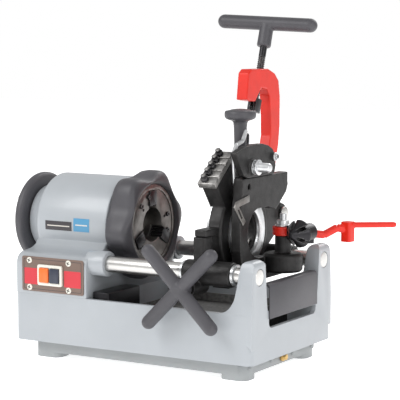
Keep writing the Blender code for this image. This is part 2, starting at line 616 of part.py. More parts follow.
def tangent_block(x, reach, half_lengths):
    """A block square to the size block's direction, as long at its outer face as half_lengths says."""
    inner, outer = half_lengths
    outline = [(reach[0], -inner), (reach[1], SIZE_SHIFT - outer), (reach[1], SIZE_SHIFT + outer), (reach[0], inner)]
    block = prism("x", [(u, SPINDLE_Z + v) for u, v in outline], *x)
    return turn(block, "x", SPINDLE, SIZE_ANGLE)


def size_screw(step):
    """A cap screw that stands on the size block, square to it."""
    rings = []
    for height, radius in [(0.0100, 0.0072), (0.0205, 0.0072), (0.0206, 0.0046), (0.0270, 0.0046)]:
        ring = circle((0.141, SPINDLE_Z + SIZE_SHIFT + step), radius, 12)
        rings.append([Vector((x, SIZE_REACH + height, z)) for x, z in ring])
    return turn(solid(rings), "x", SPINDLE, SIZE_ANGLE)


def size_block():
    """The block with a row of setting screws, one for each pipe size, and a slit between each two."""
    low, high = SIZE_REACH + GAP, SIZE_REACH + 0.0130
    block = turn(box((0.1270, 0.1655), (low, high), (SPINDLE_Z + SIZE_SHIFT - 0.046, SPINDLE_Z + SIZE_SHIFT + 0.046)),
                 "x", SPINDLE, SIZE_ANGLE)
    pitch = 0.0182
    for number in range(5):
        join(block, size_screw((number - 2) * pitch))
    for number in range(4):
        middle = SPINDLE_Z + SIZE_SHIFT + (number - 1.5) * pitch
        slit = box((0.12, 0.17), (high - 0.0030, high + 0.01), (middle - 0.0010, middle + 0.0010))
        cut(block, turn(slit, "x", SPINDLE, SIZE_ANGLE))
    name_part(block, "size_block", "steel", spot("x", 0.1475, *TOOL_PIN))


def head_fittings():
    """The mushroom knob that lifts the head, and the wing screw that locks the size block."""
    knob = [(0.3890, 0.0066), (0.4102, 0.0066), (0.4103, 0.0130), (0.4500, 0.0125), (0.4780, 0.0145), (0.4900, 0.0185)]
    knob += [(0.4935, 0.0280), (0.4985, 0.0325), (0.5050, 0.0318), (0.5110, 0.0260), (0.5150, 0.0160), (0.5160, 0.0060)]
    name_part(turned("z", KNOB_PLACE, knob, 22), "head_lift_knob", "dark_plastic", (*KNOB_PLACE, 0.45))
    clamp = turned("z", CLAMP_PLACE, [(0.3740, 0.0047), (0.3852, 0.0047), (0.3853, 0.0090), (0.3900, 0.0090),
                                      (0.3901, 0.0060), (0.4450, 0.0060)], 16)
    x, y = CLAMP_PLACE
    wing = rounded_rectangle((x - 0.010, x + 0.010), (0.4400, 0.4660), 0.006)
    join(clamp, prism("y", wing, y - 0.0035, y + 0.0035))
    name_part(clamp, "size_clamp_screw", "dark_plastic", (x, y, 0.42))


def chaser_angles():
    return [45 + i * 360 / CHASER_COUNT for i in range(CHASER_COUNT)]


def chasers_and_cam():
    low, high = DIE_X
    for number, angle in enumerate(chaser_angles(), 1):
        chaser = radial_box((low + 0.0055, high - 0.0055), (0.0312, 0.0660), 0.0088, angle)
        for step in range(5):
            x = low + 0.0070 + 0.0044 * step
            groove = box((x, x + 0.0018), (0.029, 0.0330), (SPINDLE_Z - 0.02, SPINDLE_Z + 0.02))
            cut(chaser, turn(groove, "x", SPINDLE, angle))
        name_part(chaser, f"chaser_{number}", "steel", spot("x", 0.1475, *SPINDLE))
    ring = disc("x", SPINDLE, 0.0680, high + RUNNING, 0.1740, 36)
    cut(ring, disc("x", SPINDLE, 0.0460, 0.15, 0.19, 36))
    base = polar(SPINDLE, 0.058, 104)
    lever = [base, (-0.052, 0.372), (-0.058, 0.430), (-0.044, 0.4475), (-0.018, 0.4540), (-0.004, 0.4740)]
    for start, end in zip(lever, lever[1:]):
        radii = [(-0.03, 0.0026), (0.03, 0.0040), (0.97, 0.0040), (1.03, 0.0026)]
        join(ring, bar(spot("x", 0.1700, *start), spot("x", 0.1700, *end), radii, 8))
    cut(ring, box((0.1, high + RUNNING), (-0.2, 0.2), (0.1, 0.6)))
    name_part(ring, "die_cam", "steel", spot("x", 0.170, *SPINDLE))


# ---- pipe cutter -------------------------------------------------------------------------


def screw_point(distance, aside=0.0):
    """A place (y, z) measured down the feed screw from its handle, and square to it."""
    down, across = Vector((-0.3111, -0.9504)), Vector((0.9504, -0.3111))
    place = Vector(SCREW_TOP) + down * distance + across * aside
    return (place.x, place.y)


def across_screw(near, far, left, right):
    """A four-cornered outline that lies square to the feed screw."""
    return [screw_point(near, left), screw_point(near, right), screw_point(far, right), screw_point(far, left)]


def cutter_frame():
    """The red C: a boss for the screw, a spine, and a foot that holds the rollers and turns on the tool pin."""
    middle = sum(CUTTER_X) / 2
    outline = [(0.139, 0.590), (0.127, 0.582), (0.119, 0.527), (0.156, 0.522), (0.184, 0.550), (0.207, 0.546)]
    outline += [(0.219, 0.533), (0.224, 0.488), (0.225, 0.447), (0.218, 0.424), (0.200, 0.412)]
    outline += [screw_point(PIPE_DOWN + 0.028, 0.034), screw_point(PIPE_DOWN + 0.028, -0.034)]
    outline += [screw_point(PIPE_DOWN + 0.052, -0.034), (0.112, 0.385), (0.128, 0.345)]
    outline += arc(TOOL_PIN, 0.0215, 180, 360, 8) + [(0.200, 0.318), (0.225, 0.350), (0.248, 0.384), (0.260, 0.425)]
    outline += [(0.266, 0.466), (0.266, 0.528), (0.260, 0.562), (0.243, 0.578), (0.213, 0.589)]
    frame = prism("x", outline, *CUTTER_X)
    start, end = (middle, *screw_point(0.07)), (middle, *screw_point(0.175))
    cut(frame, bar(start, end, [(0, 0.0083), (1, 0.0083)], 24))
    slot = across_screw(PIPE_DOWN + 0.015, PIPE_DOWN + 0.0425, -0.045, 0.0345)
    cut(frame, prism("x", slot, middle - 0.0075, middle + 0.0075))
    for aside in (-0.024, 0.024):
        join(frame, disc("x", screw_point(PIPE_DOWN + 0.031, aside), 0.0030, CUTTER_X[0] + 0.001, CUTTER_X[1] - 0.001, 12))
    cut(frame, disc("x", TOOL_PIN, TOOL_PIN_RADIUS + RUNNING, 0.05, 0.12, 24))
    name_part(frame, "cutter_frame", "red_paint", spot("x", middle, *TOOL_PIN))
    for number, aside in ((1, -0.024), (2, 0.024)):
        centre = screw_point(PIPE_DOWN + 0.031, aside)
        roller = disc("x", centre, 0.0090, middle - 0.0070, middle + 0.0070, 24)
        cut(roller, disc("x", centre, 0.0035, 0.05, 0.12, 16))
        name_part(roller, f"cutter_roller_{number}", "steel", spot("x", middle, *centre))


def cutter_screw():
    """The feed screw, its cross handle, and the slide and wheel at its foot."""
    middle = sum(CUTTER_X) / 2
    top = (middle, *SCREW_TOP)
    across = Vector((0.9903, 0.1323, -0.0433)).normalized() * 0.112
    radii = [(0, 0.007), (0.018, 0.0125), (0.06, 0.0150), (0.94, 0.0150), (0.982, 0.0125), (1, 0.007)]
    grip = bar(Vector(top) - across, Vector(top) + across, radii, 20)
    join(grip, bar(top, (middle, *screw_point(0.052)), [(0, 0.0150), (0.85, 0.0145), (1, 0.0130)], 20))
    name_part(grip, "cutter_handle", "dark_plastic", top)
    screw = bar((middle, *screw_point(0.0523)), (middle, *screw_point(0.1645)), [(0, 0.0080), (1, 0.0080)], 20)
    name_part(screw, "cutter_screw", "steel", top)
    slide = prism("x", across_screw(0.1650, 0.1950, -0.0110, 0.0110), middle - 0.0100, middle + 0.0100)
    cut(slide, prism("x", across_screw(0.1720, 0.21, -0.03, 0.03), middle - 0.0035, middle + 0.0035))
    centre = screw_point(WHEEL_DOWN)
    join(slide, disc("x", centre, 0.0030, middle - 0.0090, middle + 0.0090, 12))
    name_part(slide, "cutter_slide", "cast_iron", (middle, *centre))
    profile = [(middle - 0.003, 0.0055), (middle - 0.0015, 0.0060), (middle, 0.0125), (middle + 0.0015, 0.0060)]
    wheel = turned("x", centre, profile + [(middle + 0.003, 0.0055)], 28)
    cut(wheel, disc("x", centre, 0.0035, 0.05, 0.12, 16))
    name_part(wheel, "cutter_wheel", "steel", (middle, *centre))


# ---- reamer ------------------------------------------------------------------------------


def reamer():
    """An arm on the post holds the cone. It is parked here, and the red lever swings it to the pipe."""
    lever_angle = LEVER_ANGLE - PARKED
    hub = disc("z", REAMER_POST, 0.0215, 0.2620, 0.2790, 28)
    bends = [(*polar(REAMER_POST, reach, lever_angle), z) for reach, z in
             ((0.010, 0.2705), (0.085, 0.2600), (0.112, 0.2740), (0.128, 0.2700))]
    for start, end in zip(bends, bends[1:]):
        join(hub, bar(start, end, [(-0.03, 0.0060), (0.02, 0.0082), (0.98, 0.0082), (1.03, 0.0060)], 12))
    grip = polar((0, 0), 0.099, 34 - PARKED)
    x, y = polar(REAMER_POST, 0.134, lever_angle)
    join(hub, rounded_box((x - 0.011, x + 0.011), (y - 0.011, y + 0.011), (0.2450, 0.2860), 0.004, "z"))
    join(hub, bar((x, y, 0.2790), (x + grip[0], y + grip[1], 0.2790), [(0, 0.006), (0.95, 0.006), (1, 0.004)], 12))
    cut(hub, disc("z", REAMER_POST, 0.0066, 0.24, 0.30, 20))
    park(hub)
    name_part(hub, "reamer_lever", "red_paint", (*REAMER_POST, 0.271))
    nut = [(0.2390, 0.0058), (0.2793, 0.0058), (0.2794, 0.0165), (0.2835, 0.0165), (0.2836, 0.0130), (0.2920, 0.0130)]
    nut += [(0.2921, 0.0070), (0.3050, 0.0070)]
    name_part(turned("z", REAMER_POST, nut, 20), "reamer_pivot_bolt", "steel", (*REAMER_POST, 0.28))
    arm = prism("z", [(0.2120, 0.034), (0.2120, 0.0100), (0.2580, 0.0100), (0.2580, 0.034)], 0.2550, 0.2830)
    join(arm, disc("x", SPINDLE, 0.0175, 0.2120, 0.2480, 28))
    sleeve = prism("z", [(0.020, -0.013), (0.062, -0.010), (0.062, 0.010), (0.020, 0.013)], 0.2440, 0.2830)
    sleeve.data.transform(Matrix.Rotation(math.radians(lever_angle), 4, "Z"))
    sleeve.data.transform(Matrix.Translation((*REAMER_POST, 0)))
    join(arm, sleeve)
    cut(arm, disc("z", REAMER_POST, 0.0218, 0.23, 0.30, 28), disc("x", SPINDLE, 0.0083, 0.20, 0.26, 20))
    cut(arm, bar(bends[0], bends[1], [(0, 0.0090), (1, 0.0090)], 12))
    park(arm)
    name_part(arm, "reamer_arm", "cast_iron", (*REAMER_POST, 0.271))
    cone = turned("x", SPINDLE, [(0.1770, 0.0050), (0.2060, 0.0280), (0.2100, 0.0280)], 30)
    for angle in (0, 72, 144, 216, 288):
        groove = box((0.17, 0.22), (0.011, 0.04), (SPINDLE_Z - 0.004, SPINDLE_Z + 0.004))
        cut(cone, turn(groove, "x", SPINDLE, angle))
    join(cone, disc("x", SPINDLE, 0.0080, 0.2090, 0.2560, 20))
    park(cone)
    name_part(cone, "reamer_cone", "steel", (*REAMER_POST, 0.271))


def park(obj):
    """Turns a reamer piece from the place where it cuts to the place where it waits."""
    return turn(obj, "z", REAMER_POST, PARKED)


def centre_machine():
    """Moves every piece alike, so that the box round the machine has its middle over X = Y = 0."""
    bpy.context.view_layer.update()
    points = [obj.matrix_world @ vertex.co for obj in bpy.data.objects for vertex in obj.data.vertices]
    middle = [(min(p[i] for p in points) + max(p[i] for p in points)) / 2 for i in (0, 1)]
    for obj in bpy.data.objects:
        obj.location -= Vector((middle[0], middle[1], 0))


clear_scene()
materials = make_materials()
base_casting()
undertray()
drain_plug()
carry_handle()
trays_and_pump()
headstock_casing()
bearings()
switch()
drive_train()
spindle_tube()
front_chuck()
rear_chuck()
rails()
feed_gear()
feed_handwheel()
carriage_casting()
bracket_parts()
oil_spout()
tool_pin()
die_head_body()
size_block()
head_fittings()
chasers_and_cam()
cutter_frame()
cutter_screw()
reamer()
centre_machine()
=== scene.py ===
"""The looks of a bench pipe threading machine: smooth castings, moulded handwheels, steel and paint,
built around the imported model. Metres, +Z up. A place comes from the frame's boxes where a node gives it."""

import json
import math

import bmesh
import bpy
from mathutils import Matrix, Vector


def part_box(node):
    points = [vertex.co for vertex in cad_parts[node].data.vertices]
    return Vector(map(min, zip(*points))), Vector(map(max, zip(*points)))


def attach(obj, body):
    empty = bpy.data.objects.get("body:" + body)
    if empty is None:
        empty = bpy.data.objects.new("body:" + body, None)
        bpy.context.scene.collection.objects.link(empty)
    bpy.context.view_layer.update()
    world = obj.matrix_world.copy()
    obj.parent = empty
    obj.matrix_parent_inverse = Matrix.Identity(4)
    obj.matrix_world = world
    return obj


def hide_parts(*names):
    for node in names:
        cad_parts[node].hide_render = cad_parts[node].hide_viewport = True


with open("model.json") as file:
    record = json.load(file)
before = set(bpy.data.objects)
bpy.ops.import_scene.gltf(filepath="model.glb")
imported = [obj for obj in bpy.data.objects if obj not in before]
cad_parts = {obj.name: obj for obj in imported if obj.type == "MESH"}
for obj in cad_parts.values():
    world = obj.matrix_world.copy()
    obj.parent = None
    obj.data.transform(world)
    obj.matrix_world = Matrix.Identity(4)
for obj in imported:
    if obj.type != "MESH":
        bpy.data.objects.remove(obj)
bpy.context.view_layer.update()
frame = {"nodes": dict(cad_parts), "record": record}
BODY = {node: body for body, nodes in frame["record"]["behaviour"]["bodies"].items() for node in nodes}
SLOT = {part["node"]: part["material_slot"] for part in frame["record"]["subparts"]}

FINE = 96          # segments of a round piece that shows
CORNER_STEPS = 8   # segments of a rounded corner
TINY = 1e-5        # a radius too small to see, which closes a turned body

# The pieces are laid out round the spindle's axis, with the rails ending at RAIL_END, and then moved.
RAIL_END = 0.275
spindle_box, rail_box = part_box("spindle_tube"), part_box("rear_rail")
SHIFT = Vector((rail_box[1].x - RAIL_END, (spindle_box[0].y + spindle_box[1].y) / 2, 0))

# The cutter's feed screw: where its axis meets the bar of the handle, its way down, and the bar's way across.
SCREW_TOP = Vector((0.090, 0.230, 0.684))
SCREW_DIRECTION = Vector((0.0, -0.3111, -0.9504))
HANDLE_DIRECTION = Vector((0.9903, 0.1323, -0.0433)).normalized()


# ---- shape tools -------------------------------------------------------------------------


def laid_out(node):
    """The lowest and highest corners of a node, before the move."""
    low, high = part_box(node)
    return low - SHIFT, high - SHIFT


def spot(axis, along, u, v):
    """A point from its distance along an axis and its place on the plane across that axis."""
    return Vector({"x": (along, u, v), "y": (u, along, v), "z": (u, v, along)}[axis])


def placed(name, data):
    """A new object in the scene."""
    obj = bpy.data.objects.new(name, data)
    bpy.context.scene.collection.objects.link(obj)
    return obj


def finished(bm):
    """Turns a built shape into an object with its faces pointing out."""
    bmesh.ops.remove_doubles(bm, verts=bm.verts, dist=1e-6)
    bmesh.ops.recalc_face_normals(bm, faces=bm.faces)
    mesh = bpy.data.meshes.new("shape")
    bm.to_mesh(mesh)
    bm.free()
    return placed("shape", mesh)


def solid(rings):
    """A closed solid through rings of points, with a face on its first and its last ring."""
    bm = bmesh.new()
    layers = [[bm.verts.new(p) for p in ring] for ring in rings]
    for first, second in zip(layers, layers[1:]):
        for i in range(len(first)):
            j = (i + 1) % len(first)
            bm.faces.new((first[i], first[j], second[j], second[i]))
    bm.faces.new(layers[0])
    bm.faces.new(layers[-1])
    return finished(bm)


def prism(axis, outline, low, high):
    """An outline drawn out along an axis."""
    return solid([[spot(axis, along, u, v) for u, v in outline] for along in (low, high)])


def box(x, y, z):
    return prism("x", [(y[0], z[0]), (y[1], z[0]), (y[1], z[1]), (y[0], z[1])], *x)


def arc(centre, radius, start, end, steps):
    """Points on a stretch of a circle, between two angles in degrees."""
    angles = [math.radians(start + (end - start) * i / steps) for i in range(steps + 1)]
    return [(centre[0] + radius * math.cos(a), centre[1] + radius * math.sin(a)) for a in angles]


def circle(centre, radius, segments=FINE):
    """Points all the way round, with none twice."""
    return arc(centre, radius, 0, 360 - 360 / segments, segments - 1)


def disc(axis, centre, radius, low, high, segments=FINE):
    return prism(axis, circle(centre, radius, segments), low, high)


def polar(centre, radius, degrees):
    """The point at a distance and an angle from a centre."""
    angle = math.radians(degrees)
    return (centre[0] + radius * math.cos(angle), centre[1] + radius * math.sin(angle))


def rounded_rectangle(x, y, radius):
    """The outline of a rectangle with round corners."""
    corners = ((x[1], y[1], 0), (x[0], y[1], 90), (x[0], y[0], 180), (x[1], y[0], 270))
    outline = []
    for cx, cy, start in corners:
        inner = (cx - math.copysign(radius, cx - sum(x) / 2), cy - math.copysign(radius, cy - sum(y) / 2))
        outline += arc(inner, radius, start, start + 90, CORNER_STEPS)
    return outline


def rounded_box(x, y, z, radius, axis="z"):
    """A box whose four edges along one axis are round."""
    spans = {"z": (x, y, z), "x": (y, z, x), "y": (x, z, y)}[axis]
    return prism(axis, rounded_rectangle(spans[0], spans[1], radius), *spans[2])


def turned(axis, centre, profile, segments=FINE):
    """A body of revolution. The profile holds (distance along the axis, radius) from end to end."""
    rings = []
    for along, radius in profile:
        rings.append([spot(axis, along, u, v) for u, v in circle(centre, max(radius, TINY), segments)])
    return solid(rings)


def bar(start, end, radii, segments=32):
    """A round bar between two points. Each entry is a share of the length and a radius."""
    start, end = Vector(start), Vector(end)
    turn_to = (end - start).to_track_quat("Z", "Y").to_matrix()
    rings = []
    for share, radius in radii:
        middle = start.lerp(end, share)
        rings.append([middle + turn_to @ Vector((u, v, 0)) for u, v in circle((0, 0), radius, segments)])
    return solid(rings)


def rounded_bar(start, end, radius, segments=32):
    """A round bar with half-round ends that stay inside its length."""
    length = (Vector(end) - Vector(start)).length
    reach = min(0.45, radius / length)
    ends = [(reach * (1 - math.cos(a)), max(0.0006, radius * math.sin(a)))
            for a in (math.pi / 2 * i / 6 for i in range(7))]
    return bar(start, end, ends + [(1 - share, r) for share, r in reversed(ends)], segments)


def combine(target, other, operation):
    """Joins, cuts or intersects the target with another shape, which is used up."""
    modifier = target.modifiers.new("combine", "BOOLEAN")
    modifier.operation = operation
    modifier.object = other
    bpy.context.view_layer.update()
    settle(target)
    bpy.data.objects.remove(other)
    return target


def join(target, other):
    return combine(target, other, "UNION")


def cut(target, other):
    return combine(target, other, "DIFFERENCE")


def settle(obj):
    """Applies the modifiers."""
    bpy.context.view_layer.update()
    graph = bpy.context.evaluated_depsgraph_get()
    mesh = bpy.data.meshes.new_from_object(obj.evaluated_get(graph))
    obj.modifiers.clear()
    obj.data = mesh
    return obj


def cast(obj, voxel, passes):
    """Gives a joined shape the small fillets of a casting: a fine remesh, then smoothing."""
    remesh = obj.modifiers.new("remesh", "REMESH")
    remesh.mode = "VOXEL"
    remesh.voxel_size = voxel
    smooth = obj.modifiers.new("smooth", "SMOOTH")
    smooth.factor = 0.5
    smooth.iterations = passes
    settle(obj)
    obj.data.shade_smooth()
    return obj


def smooth_round(obj, angle=38):
    """Smooth shading, but for edges sharper than an angle."""
    obj.data.shade_smooth()
    obj.data.set_sharp_from_angle(angle=math.radians(angle))
    return obj


def soften_edges(obj, width, segments=2):
    """Rounds every sharp edge, and merges the flat triangles first so that the rounding runs clean."""
    bm = bmesh.new()
    bm.from_mesh(obj.data)
    bmesh.ops.remove_doubles(bm, verts=bm.verts, dist=2e-6)
    bmesh.ops.dissolve_limit(bm, angle_limit=math.radians(0.6), verts=bm.verts, edges=bm.edges)
    bm.to_mesh(obj.data)
    bm.free()
    bevel = obj.modifiers.new("bevel", "BEVEL")
    bevel.width = width
    bevel.segments = segments
    bevel.limit_method = "ANGLE"
    bevel.angle_limit = math.radians(32)
    return smooth_round(settle(obj))


# ---- materials ---------------------------------------------------------------------------


def material(name, colour, roughness, metallic=0.0, grain=0.0, scale=900.0, mottle=0.06, mottle_scale=18.0,
             wear_and_highlight=None, coat=0.0, stretch=(1, 1, 1), roughness_spread=0.12):
    """A surface with fine grain, broad colour variation, uneven roughness and, if asked, lighter edges:
    partly wear, partly a painted highlight along the edges.
    """
    made = bpy.data.materials.new(name)
    made.use_nodes = True
    nodes, links = made.node_tree.nodes, made.node_tree.links
    shader = nodes["Principled BSDF"]
    place = nodes.new("ShaderNodeTexCoord")
    mapping = nodes.new("ShaderNodeMapping")
    mapping.inputs["Scale"].default_value = stretch
    links.new(place.outputs["Object"], mapping.inputs["Vector"])

    broad = nodes.new("ShaderNodeTexNoise")
    broad.inputs["Scale"].default_value = mottle_scale
    broad.inputs["Detail"].default_value = 6
    links.new(place.outputs["Object"], broad.inputs["Vector"])
    shades = nodes.new("ShaderNodeValToRGB")
    shades.color_ramp.elements[0].position = 0.3
    shades.color_ramp.elements[1].position = 0.7
    shades.color_ramp.elements[0].color = (*[c * (1 - mottle) for c in colour], 1)
    shades.color_ramp.elements[1].color = (*[min(1, c * (1 + mottle)) for c in colour], 1)
    links.new(broad.outputs["Fac"], shades.inputs["Fac"])
    base = shades.outputs["Color"]

    fine = nodes.new("ShaderNodeTexNoise")
    fine.inputs["Scale"].default_value = scale
    fine.inputs["Detail"].default_value = 4
    links.new(mapping.outputs["Vector"], fine.inputs["Vector"])
    sheen = nodes.new("ShaderNodeMapRange")
    sheen.inputs["To Min"].default_value = max(0.02, roughness - roughness_spread)
    sheen.inputs["To Max"].default_value = min(1, roughness + roughness_spread)
    links.new(fine.outputs["Fac"], sheen.inputs["Value"])
    links.new(sheen.outputs["Result"], shader.inputs["Roughness"])
    shader.inputs["Metallic"].default_value = metallic
    shader.inputs["Coat Weight"].default_value = coat
    shader.inputs["Coat Roughness"].default_value = 0.12

    # lighter edges: partly wear, partly a painted highlight
    if wear_and_highlight:
        base = wear_and_highlight_edges(nodes, links, base, wear_and_highlight, broad)
    links.new(base, shader.inputs["Base Color"])
    if grain:
        bump = nodes.new("ShaderNodeBump")
        bump.inputs["Strength"].default_value = grain
        bump.inputs["Distance"].default_value = 0.0006
        links.new(fine.outputs["Fac"], bump.inputs["Height"])
        links.new(bump.outputs["Normal"], shader.inputs["Normal"])
    return made


def wear_and_highlight_edges(nodes, links, base, wear_and_highlight, noise):
    """Mixes a lighter colour in along the edges, broken up by noise: partly wear, partly a painted highlight
    where the edges would catch the light. The pair holds the colour and its amount.
    """
    colour, amount = wear_and_highlight
    rounded = nodes.new("ShaderNodeBevel")
    rounded.samples = 4
    rounded.inputs["Radius"].default_value = 0.0018
    flat = nodes.new("ShaderNodeNewGeometry")
    along = nodes.new("ShaderNodeVectorMath")
    along.operation = "DOT_PRODUCT"
    links.new(rounded.outputs["Normal"], along.inputs[0])
    links.new(flat.outputs["Normal"], along.inputs[1])
    edge = nodes.new("ShaderNodeMapRange")
    edge.inputs["From Min"].default_value = 0.985
    edge.inputs["From Max"].default_value = 0.90
    edge.inputs["To Max"].default_value = amount
    links.new(along.outputs["Value"], edge.inputs["Value"])
    broken = nodes.new("ShaderNodeMath")
    broken.operation = "MULTIPLY"
    links.new(edge.outputs["Result"], broken.inputs[0])
    links.new(noise.outputs["Fac"], broken.inputs[1])
    mix = nodes.new("ShaderNodeMix")
    mix.data_type = "RGBA"
    links.new(broken.outputs["Value"], mix.inputs["Factor"])
    links.new(base, mix.inputs["A"])
    mix.inputs["B"].default_value = (*colour, 1)
    return mix.outputs["Result"]


# The edge colours in these recipes are lighter than their surfaces: partly wear, partly a painted highlight
# along the edges.
LOOKS = {
    # a lighter grey along the edges: partly wear, partly painted highlight
    "grey_paint": dict(colour=(0.405, 0.43, 0.455), roughness=0.36, grain=0.10, scale=420, mottle=0.025,
                       wear_and_highlight=((0.56, 0.59, 0.62), 0.6), coat=0.2, roughness_spread=0.06),
    "tray_paint": dict(colour=(0.335, 0.35, 0.355), roughness=0.5, grain=0.14, scale=500, mottle=0.05),
    "dark_plastic": dict(colour=(0.066, 0.064, 0.072), roughness=0.46, grain=0.22, scale=1500, mottle=0.10,
                         wear_and_highlight=((0.16, 0.16, 0.17), 0.5)),
    "cast_iron": dict(colour=(0.030, 0.029, 0.029), roughness=0.44, metallic=0.6, grain=0.7, scale=520,
                      mottle=0.35, mottle_scale=60, wear_and_highlight=((0.30, 0.29, 0.28), 0.9)),
    "steel": dict(colour=(0.58, 0.57, 0.55), roughness=0.27, metallic=1.0, grain=0.05, scale=700,
                  mottle=0.10, mottle_scale=40, wear_and_highlight=((0.85, 0.84, 0.82), 0.5)),
    "brushed": dict(colour=(0.66, 0.65, 0.63), roughness=0.30, metallic=1.0, grain=0.10, scale=260,
                    mottle=0.06, stretch=(1, 14, 14)),
    "chuck_steel": dict(colour=(0.20, 0.19, 0.18), roughness=0.42, metallic=0.9, grain=0.12, scale=500,
                        mottle=0.25, mottle_scale=60, wear_and_highlight=((0.60, 0.58, 0.55), 0.8)),
    "block_steel": dict(colour=(0.36, 0.35, 0.34), roughness=0.40, metallic=0.9, grain=0.15, scale=420,
                        mottle=0.35, mottle_scale=140, wear_and_highlight=((0.70, 0.68, 0.65), 0.9)),
    "zinc": dict(colour=(0.72, 0.73, 0.74), roughness=0.34, metallic=0.9, grain=0.08, scale=500,
                 mottle=0.10, mottle_scale=90),
    # light edges on the dark steel: partly wear, partly painted highlight
    "black_steel": dict(colour=(0.028, 0.027, 0.030), roughness=0.32, metallic=0.7, grain=0.10, scale=600,
                        mottle=0.2, wear_and_highlight=((0.42, 0.41, 0.40), 0.8)),
    # a brighter red along the edges: painted highlight
    "red_paint": dict(colour=(0.74, 0.016, 0.004), roughness=0.40, grain=0.35, scale=260, mottle=0.07,
                      mottle_scale=30, wear_and_highlight=((0.90, 0.14, 0.05), 0.8)),
    "panel": dict(colour=(0.185, 0.125, 0.100), roughness=0.48, grain=0.06, scale=1200, mottle=0.08),
    "panel_red": dict(colour=(0.62, 0.035, 0.05), roughness=0.42, grain=0.04, scale=1200),
    "panel_line": dict(colour=(0.70, 0.66, 0.60), roughness=0.45, mottle=0.02),
    "white_plastic": dict(colour=(0.80, 0.78, 0.70), roughness=0.36, grain=0.05, scale=1200, mottle=0.03),
    "orange_plastic": dict(colour=(0.86, 0.17, 0.03), roughness=0.34, grain=0.05, scale=1200, mottle=0.05),
    "button_blue": dict(colour=(0.035, 0.042, 0.065), roughness=0.32, grain=0.05, scale=1200),
    "brass": dict(colour=(0.62, 0.42, 0.16), roughness=0.32, metallic=1.0, grain=0.08, scale=600,
                  mottle=0.12),
    "badge_dark": dict(colour=(0.045, 0.040, 0.045), roughness=0.35, mottle=0.04),
    "badge_blue": dict(colour=(0.09, 0.30, 0.50), roughness=0.35, mottle=0.04),
    "mesh_tray": dict(colour=(0.10, 0.098, 0.095), roughness=0.45, metallic=0.8, grain=0.6, scale=300,
                      mottle=0.4, mottle_scale=120),
    "shadow_hole": dict(colour=(0.006, 0.006, 0.006), roughness=0.8),
}

looks = {name: material(name, **recipe) for name, recipe in LOOKS.items()}


def show(obj, name, node, look=None, stands_for=()):
    """Names a piece, paints it and makes it ride with the body that its node belongs to."""
    obj.name = name
    obj.data.name = name
    obj.data.transform(Matrix.Translation(SHIFT))
    obj.data.materials.clear()
    obj.data.materials.append(looks[look or SLOT[node]])
    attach(obj, BODY[node])
    if stands_for:
        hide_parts(*stands_for)


def copy_of(node):
    """The node's own shape, back where it was laid out."""
    obj = placed(node + "_copy", frame["nodes"][node].data.copy())
    obj.data.transform(Matrix.Translation(-SHIFT))
    return obj


def skin(node, look, width):
    """The node's own shape with its sharp edges rounded."""
    show(soften_edges(copy_of(node), width), node + "_skin", node, look, (node,))


# ---- measures from the frame -------------------------------------------------------------

spindle_low, spindle_high = laid_out("spindle_tube")
SPINDLE = ((spindle_low.y + spindle_high.y) / 2, (spindle_low.z + spindle_high.z) / 2)
base_low, base_high = laid_out("base_casting")
casing_low, casing_high = laid_out("headstock_casing")
rail_low, rail_high = laid_out("rear_rail")
RAIL_Y, RAIL_Z = (rail_low.y + rail_high.y) / 2, (rail_low.z + rail_high.z) / 2
RAIL_RADIUS = (rail_high.z - rail_low.z) / 2
RAIL_HOLE = RAIL_RADIUS + 0.0003
RIM_Z = casing_low.z - 0.0003
DRUM_RADIUS = casing_high.z - SPINDLE[1]
HEADSTOCK_END = -0.105  # the end of the headstock's box, which the drum and the rail bosses reach past


# ---- base --------------------------------------------------------------------------------


def base_skin():
    """The tub, with a rounded rim, end posts that flare into it, and the opening under the carry handle."""
    low, high = base_low, base_high
    wall, floor, corner, bulkhead = 0.010, 0.012, 0.014, 0.008
    tub = rounded_box((low.x, high.x), (low.y, high.y), (low.z, RIM_Z), corner)
    inside = rounded_box((low.x + wall, high.x - wall), (low.y + wall, high.y - wall),
                         (low.z + floor, RIM_Z + 0.05), corner - wall + 0.002)
    cut(tub, inside)
    join(tub, box((HEADSTOCK_END - bulkhead, HEADSTOCK_END), (low.y + 0.005, high.y - 0.005),
                  (low.z + 0.005, RIM_Z)))
    for side in (-1, 1):
        join(tub, end_post(side, high.x, high.y, high.z))
    opening = rounded_rectangle((-0.100, 0.100), (RIM_Z - 0.035, RIM_Z + 0.126), 0.012)
    cut(tub, prism("x", opening, high.x - 0.030, high.x + 0.010))
    for side in (-1, 1):
        cut(tub, disc("x", (side * RAIL_Y, RAIL_Z), RAIL_HOLE, high.x - 0.08, high.x + 0.02))
    soften_edges(tub, 0.0045, 4)
    show(tub, "base_skin", "base_casting", stands_for=("base_casting",))


